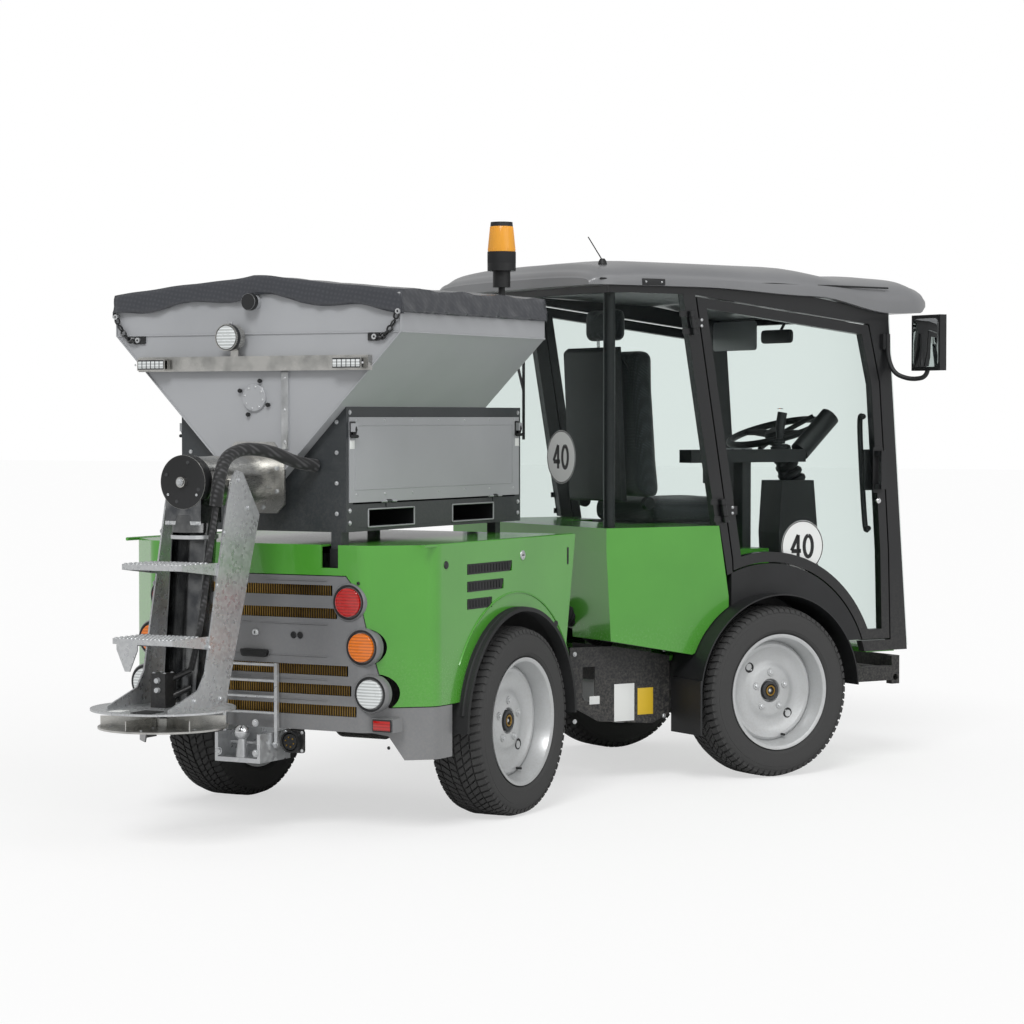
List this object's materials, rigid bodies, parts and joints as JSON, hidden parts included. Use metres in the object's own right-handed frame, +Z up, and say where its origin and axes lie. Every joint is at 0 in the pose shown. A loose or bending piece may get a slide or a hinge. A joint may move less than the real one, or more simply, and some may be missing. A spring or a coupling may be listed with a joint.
{
  "type": "compact implement carrier",
  "caption": "Articulated compact implement carrier with glazed cab, rear hood, twin axles and a hopper spreader with rear spinner disc on its deck.",
  "frame": {"origin": "middle of the parked machine's footprint box, on the ground", "axes": "+X along the rear section, rear axle to pivot; +Y to its left; +Z up"},
  "size_m": [4.0913, 2.1235, 2.078],
  "materials": {
    "dark_paint": "satin powder coat",
    "cast_block": "painted casting",
    "green_moulding": "gloss mid green",
    "grey_moulding": "gloss mid grey",
    "lamp_lens": "ribbed lens",
    "black_rubber": "moulded rubber",
    "galvanised": "hot-dip galvanised",
    "galvanised_sheet": "worn galvanised sheet",
    "anthracite_paint": "powder coat",
    "light_grey_paint": "powder coat",
    "tarpaulin": "coated black sheet",
    "stainless": "brushed stainless",
    "woven_sleeve": "woven nylon sleeve",
    "black_paint": "satin black",
    "beacon_lens": "amber lens",
    "chrome_rod": "hard chrome",
    "black_plastic": "grained moulding",
    "roof_moulding": "gloss grey",
    "tinted_glass": "safety glass",
    "seat_fabric": "woven seat cloth",
    "tyre_rubber": "tread rubber",
    "silver_wheel": "silver paint"
  },
  "bodies": {
    "rear_section": {"rear_chassis": "dark_paint", "rear_axle": "dark_paint", "engine_block": "cast_block", "rear_body_shell": "green_moulding", "rear_grille_panel": "grey_moulding", "rear_lamps": "lamp_lens", "rear_arch_liners": "black_rubber", "rear_hitch": "galvanised", "spreader_base_frame": "anthracite_paint", "spreader_fork_frame": "anthracite_paint", "spreader_fork_pockets": "light_grey_paint", "spreader_side_plates": "anthracite_paint", "hopper": "light_grey_paint", "hopper_tarp": "tarpaulin", "rear_light_bar": "stainless", "auger_tube": "stainless", "auger_hose_sleeve": "woven_sleeve", "salt_chute": "stainless", "disc_carrier": "galvanised_sheet", "spreader_steps": "galvanised_sheet", "disc_motor": "black_paint", "warning_beacon": "beacon_lens"},
    "front_section": {"front_chassis": "dark_paint", "front_axle": "dark_paint", "front_mudguards": "black_plastic", "cab_frame": "black_paint", "cab_tub": "green_moulding", "cab_roof": "roof_moulding", "windscreen": "tinted_glass", "rear_window": "tinted_glass", "cab_mirrors": "black_plastic", "driver_seat": "seat_fabric", "steering_console": "black_plastic"},
    "door_left": {"door_left": "black_paint", "door_glass_left": "tinted_glass"},
    "door_right": {"door_right": "black_paint", "door_glass_right": "tinted_glass"},
    "lift_arms": {"front_lift_arms": "dark_paint"},
    "fold_up_step": {"fold_up_step": "galvanised"},
    "spreader_cover_left": {"spreader_cover_left": "light_grey_paint"},
    "spreader_cover_right": {"spreader_cover_right": "light_grey_paint"},
    "spinner": {"spinner_disc": "stainless"},
    "steering_barrel": {"steering_cylinder_barrel": "black_paint"},
    "steering_rod": {"steering_cylinder_rod": "chrome_rod"},
    "wheel_rear_left": {"tyre_rear_left": "tyre_rubber", "rim_rear_left": "silver_wheel"},
    "wheel_rear_right": {"tyre_rear_right": "tyre_rubber", "rim_rear_right": "silver_wheel"},
    "wheel_front_left": {"tyre_front_left": "tyre_rubber", "rim_front_left": "silver_wheel"},
    "wheel_front_right": {"tyre_front_right": "tyre_rubber", "rim_front_right": "silver_wheel"}
  },
  "joints": [
    {"name": "articulation", "type": "hinge", "parent": "rear_section", "child": "front_section", "pos_m": [0.2843, 0.4192, 0.412], "axis": [0, 0, 1], "range_deg": [-15, 75]},
    {"name": "wheel_rear_left_spin", "type": "hinge", "parent": "rear_section", "child": "wheel_rear_left", "pos_m": [-0.6087, 0.9592, 0.325], "axis": [0, 1, 0], "continuous": true},
    {"name": "wheel_rear_right_spin", "type": "hinge", "parent": "rear_section", "child": "wheel_rear_right", "pos_m": [-0.6087, -0.1208, 0.325], "axis": [0, 1, 0], "continuous": true},
    {"name": "wheel_front_left_spin", "type": "hinge", "parent": "front_section", "child": "wheel_front_left", "pos_m": [1.33761, 0.43534, 0.325], "axis": [0.4994, 0.8664, 0], "continuous": true},
    {"name": "wheel_front_right_spin", "type": "hinge", "parent": "front_section", "child": "wheel_front_right", "pos_m": [0.79826, -0.50035, 0.325], "axis": [0.4994, 0.8664, 0], "continuous": true},
    {"name": "door_left_hinge", "type": "hinge", "parent": "front_section", "child": "door_left", "pos_m": [1.16652, 0.57205, 1.015], "axis": [-0.1739, 0.1002, 0.9797], "range_deg": [0, 80]},
    {"name": "door_right_hinge", "type": "hinge", "parent": "front_section", "child": "door_right", "pos_m": [0.59421, -0.42082, 1.015], "axis": [0.1739, -0.1002, -0.9797], "range_deg": [0, 80]},
    {"name": "lift_arms_pivot", "type": "hinge", "parent": "front_section", "child": "lift_arms", "pos_m": [1.53794, -0.30342, 0.4], "axis": [-0.4994, -0.8664, 0], "range_deg": [-8, 20]},
    {"name": "fold_up_step_hinge", "type": "hinge", "parent": "rear_section", "child": "fold_up_step", "pos_m": [-1.3287, 0.4192, 0.29], "axis": [0, -1, 0], "range_deg": [0, 90]},
    {"name": "cover_left_hinge", "type": "hinge", "parent": "rear_section", "child": "spreader_cover_left", "pos_m": [-0.6617, 0.7505, 1.086], "axis": [-1, 0, 0], "range_deg": [0, 100]},
    {"name": "cover_right_hinge", "type": "hinge", "parent": "rear_section", "child": "spreader_cover_right", "pos_m": [-0.6617, 0.0879, 1.086], "axis": [1, 0, 0], "range_deg": [0, 100]},
    {"name": "spinner_spin", "type": "hinge", "parent": "rear_section", "child": "spinner", "pos_m": [-1.8187, 0.4192, 0.4], "axis": [0, 0, 1], "continuous": true},
    {"name": "steering_barrel_swing", "type": "hinge", "parent": "rear_section", "child": "steering_barrel", "pos_m": [-0.1287, 0.2242, 0.53], "axis": [0, 0, 1], "range_deg": [-5, 21]},
    {"name": "steering_rod_slide", "type": "slide", "parent": "steering_barrel", "child": "steering_rod", "axis": [0.9969, -0.0789, 0], "range_m": [-0.05, 0.22]}
  ],
  "couplings": [
    {"joint": "steering_barrel_swing", "follows": "articulation", "ratio": 0.261},
    {"joint": "steering_rod_slide", "follows": "articulation", "m_per_rad": 0.164}
  ]
}
